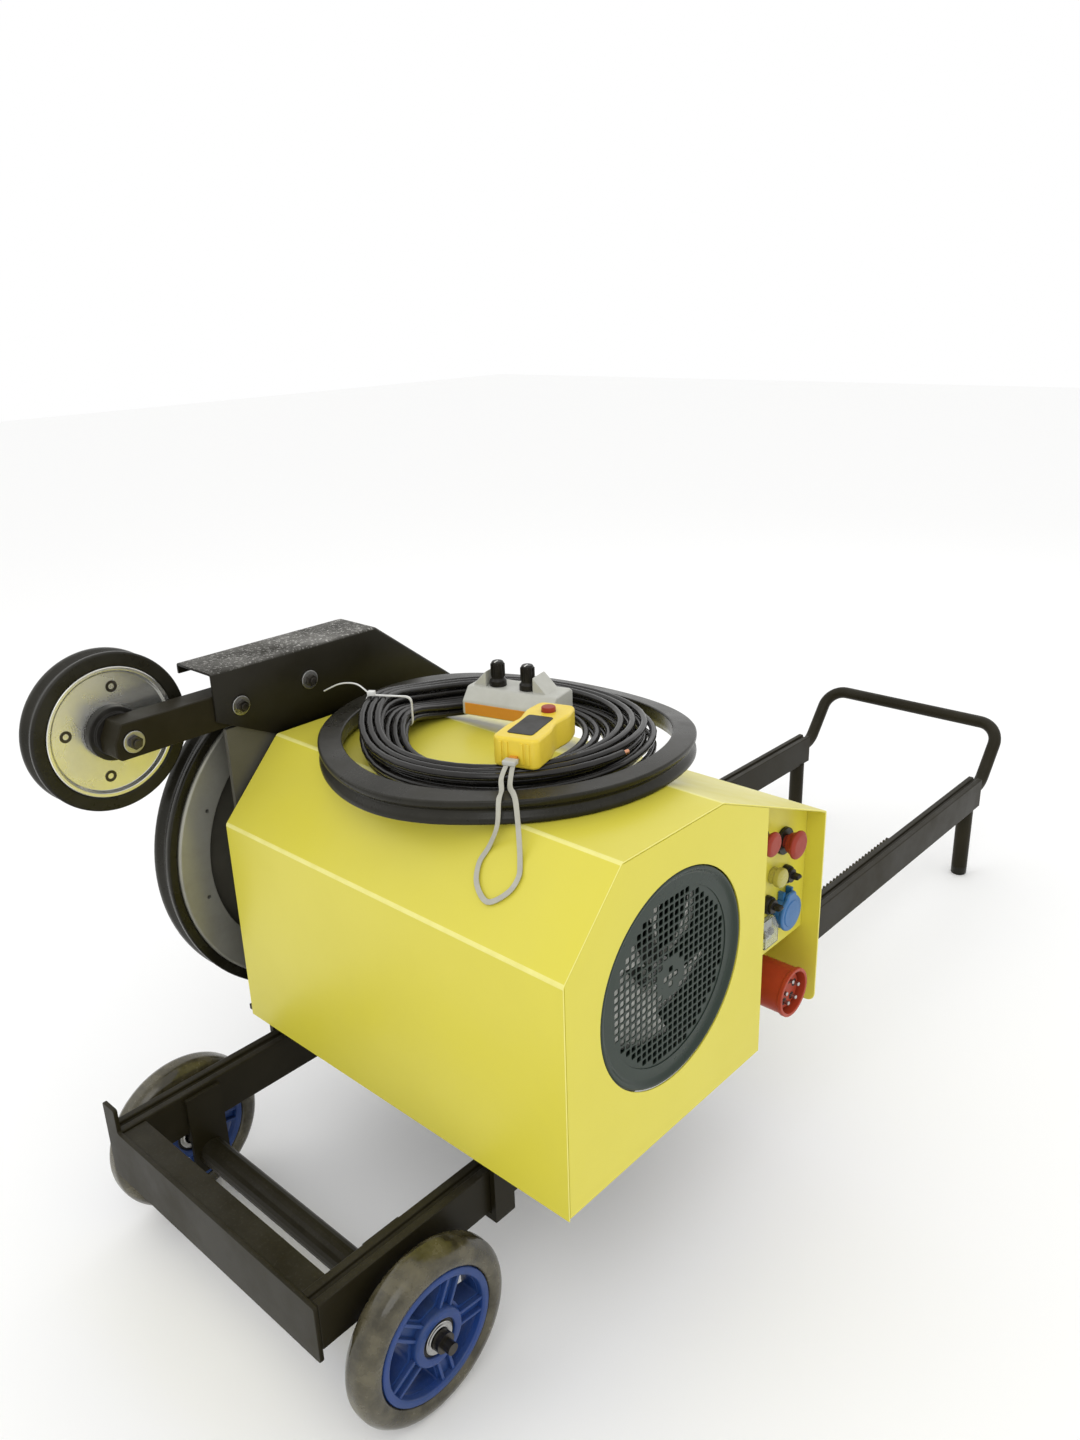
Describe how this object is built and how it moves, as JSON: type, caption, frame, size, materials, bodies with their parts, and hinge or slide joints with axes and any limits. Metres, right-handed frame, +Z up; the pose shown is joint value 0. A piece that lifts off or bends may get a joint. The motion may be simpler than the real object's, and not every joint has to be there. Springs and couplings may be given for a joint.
{
  "type": "wire saw machine on rail trolley",
  "caption": "Electric wire saw: a hooded motor with drive and guide pulleys and a control panel, on a carriage that rolls along a two-wheel rail trolley with a push handle.",
  "frame": {"origin": "on the floor, under the middle of the machine's footprint", "axes": "+Z up, +Y along the rails towards the push handle, +X across the rails towards the control panel"},
  "size_m": [0.711, 1.9327, 0.828],
  "materials": {
    "lemon_paint": "smooth lemon powder coat",
    "black_paint": "satin black paint, dusty",
    "grey_steel": "dark grey steel plate",
    "bare_steel": "turned steel",
    "aluminium": "turned aluminium",
    "motor_casting": "painted aluminium casting",
    "rubber": "black rubber",
    "tyre": "dusty rubber",
    "blue_hub": "blue moulded plastic",
    "cowl_paint": "grey-green paint",
    "red_plastic": "red moulded plastic",
    "yellow_plastic": "yellow moulded plastic",
    "black_plastic": "black moulded plastic",
    "blue_socket": "blue moulded plastic",
    "clear_plastic": "clear plastic",
    "grey_plastic": "grey moulded plastic",
    "white_nylon": "white nylon",
    "webbing": "woven grey strap"
  },
  "bodies": {
    "trolley": {"near_rail": "black_paint", "far_rail": "black_paint", "front_crossmember": "black_paint", "push_handle": "black_paint", "axle_beam": "black_paint", "axle": "bare_steel", "axle_nut": "bare_steel", "feed_rack": "bare_steel"},
    "near_wheel": {"near_wheel_hub": "blue_hub", "near_wheel_tyre": "tyre"},
    "far_wheel": {"far_wheel_hub": "blue_hub", "far_wheel_tyre": "tyre"},
    "carriage": {"base_plate": "black_paint", "front_roller_yoke": "black_paint", "rear_roller_yoke": "black_paint", "feed_motor": "motor_casting", "hood_shell": "lemon_paint", "fan_end_plate": "lemon_paint", "control_panel": "lemon_paint", "end_plate": "grey_steel", "guard": "black_paint", "motor_body": "motor_casting", "fan_cowl": "cowl_paint", "guide_arm": "black_paint", "guide_axle": "bare_steel", "estop_collar": "black_plastic", "stop_collar": "black_plastic", "button_bezel": "black_plastic", "selector_bezel_1": "black_plastic", "selector_bezel_2": "black_plastic", "socket_base": "blue_socket", "inlet_body": "red_plastic", "spare_tyre": "rubber", "cable_coil": "rubber", "cable_tie": "white_nylon", "remote_body": "grey_plastic", "pendant_body": "yellow_plastic", "lanyard": "webbing"},
    "rotor": {"motor_shaft": "bare_steel", "drive_hub": "bare_steel", "drive_rim": "aluminium", "drive_tyre": "rubber", "motor_fan": "grey_plastic"},
    "guide_pulley": {"guide_disc": "aluminium", "guide_tyre": "rubber", "guide_hub": "black_plastic"},
    "front_rollers": {"front_roller_set": "bare_steel"},
    "rear_rollers": {"rear_roller_set": "bare_steel"},
    "pinion": {"feed_pinion": "bare_steel"},
    "estop": {"estop_head": "red_plastic"},
    "stop": {"stop_head": "red_plastic"},
    "start": {"yellow_button": "yellow_plastic"},
    "selector_1": {"selector_lever_1": "black_plastic"},
    "selector_2": {"selector_lever_2": "black_plastic"},
    "lid": {"socket_lid": "blue_socket"},
    "breaker_window": {"breaker_cover": "clear_plastic"},
    "knob_1": {"remote_knob_1": "black_plastic"},
    "knob_2": {"remote_knob_2": "black_plastic"},
    "pendant_button": {"pendant_stop": "red_plastic"}
  },
  "joints": [
    {"name": "carriage_slide", "type": "slide", "parent": "trolley", "child": "carriage", "axis": [0, 1, 0], "range_m": [-0.06, 0.9]},
    {"name": "near_wheel_spin", "type": "hinge", "parent": "trolley", "child": "near_wheel", "pos_m": [0.233, -0.8431, 0.113], "axis": [1, 0, 0], "continuous": true},
    {"name": "far_wheel_spin", "type": "hinge", "parent": "trolley", "child": "far_wheel", "pos_m": [-0.288, -0.8431, 0.113], "axis": [1, 0, 0], "continuous": true},
    {"name": "rotor_spin", "type": "hinge", "parent": "carriage", "child": "rotor", "pos_m": [-0.3355, -0.5301, 0.48], "axis": [1, 0, 0], "continuous": true},
    {"name": "guide_spin", "type": "hinge", "parent": "carriage", "child": "guide_pulley", "pos_m": [-0.3355, -0.8331, 0.722], "axis": [1, 0, 0], "continuous": true},
    {"name": "front_roller_spin", "type": "hinge", "parent": "carriage", "child": "front_rollers", "pos_m": [-0.0275, -0.6821, 0.2383], "axis": [1, 0, 0], "continuous": true},
    {"name": "rear_roller_spin", "type": "hinge", "parent": "carriage", "child": "rear_rollers", "pos_m": [-0.0275, -0.2271, 0.2383], "axis": [1, 0, 0], "continuous": true},
    {"name": "feed_pinion_spin", "type": "hinge", "parent": "carriage", "child": "pinion", "pos_m": [0.1525, -0.4571, 0.2238], "axis": [1, 0, 0], "continuous": true},
    {"name": "estop_push", "type": "slide", "parent": "carriage", "child": "estop", "axis": [-1, 0, 0], "range_m": [0, 0.004], "stiffness_N_per_m": 1000, "springref_m": -0.001},
    {"name": "stop_push", "type": "slide", "parent": "carriage", "child": "stop", "axis": [-1, 0, 0], "range_m": [0, 0.004], "stiffness_N_per_m": 1000, "springref_m": -0.001},
    {"name": "start_push", "type": "slide", "parent": "carriage", "child": "start", "axis": [-1, 0, 0], "range_m": [0, 0.003], "stiffness_N_per_m": 600, "springref_m": -0.001},
    {"name": "selector_1_turn", "type": "hinge", "parent": "carriage", "child": "selector_1", "pos_m": [0.3275, -0.2391, 0.487], "axis": [1, 0, 0], "range_deg": [-45, 45]},
    {"name": "selector_2_turn", "type": "hinge", "parent": "carriage", "child": "selector_2", "pos_m": [0.3275, -0.2841, 0.459], "axis": [1, 0, 0], "range_deg": [-45, 45]},
    {"name": "socket_lid_hinge", "type": "hinge", "parent": "carriage", "child": "lid", "pos_m": [0.3381, -0.2411, 0.463], "axis": [0, -1, 0], "range_deg": [0, 100], "stiffness_Nm_per_rad": 0.03, "springref_deg": -11.46},
    {"name": "breaker_cover_hinge", "type": "hinge", "parent": "carriage", "child": "breaker_window", "pos_m": [0.3278, -0.3061, 0.421], "axis": [0, 0, -1], "range_deg": [0, 90]},
    {"name": "remote_knob_1_turn", "type": "hinge", "parent": "carriage", "child": "knob_1", "pos_m": [-0.0371, -0.4072, 0.761], "axis": [0, 0, 1], "range_deg": [-135, 135]},
    {"name": "remote_knob_2_turn", "type": "hinge", "parent": "carriage", "child": "knob_2", "pos_m": [0.0085, -0.3959, 0.761], "axis": [0, 0, 1], "range_deg": [-135, 135]},
    {"name": "pendant_stop_push", "type": "slide", "parent": "carriage", "child": "pendant_button", "axis": [0, 0, -1], "range_m": [0, 0.003], "stiffness_N_per_m": 600, "springref_m": -0.001}
  ],
  "couplings": [
    {"joint": "front_roller_spin", "follows": "carriage_slide", "rad_per_m": -55.556},
    {"joint": "rear_roller_spin", "follows": "carriage_slide", "rad_per_m": -55.556},
    {"joint": "feed_pinion_spin", "follows": "carriage_slide", "rad_per_m": -50}
  ]
}
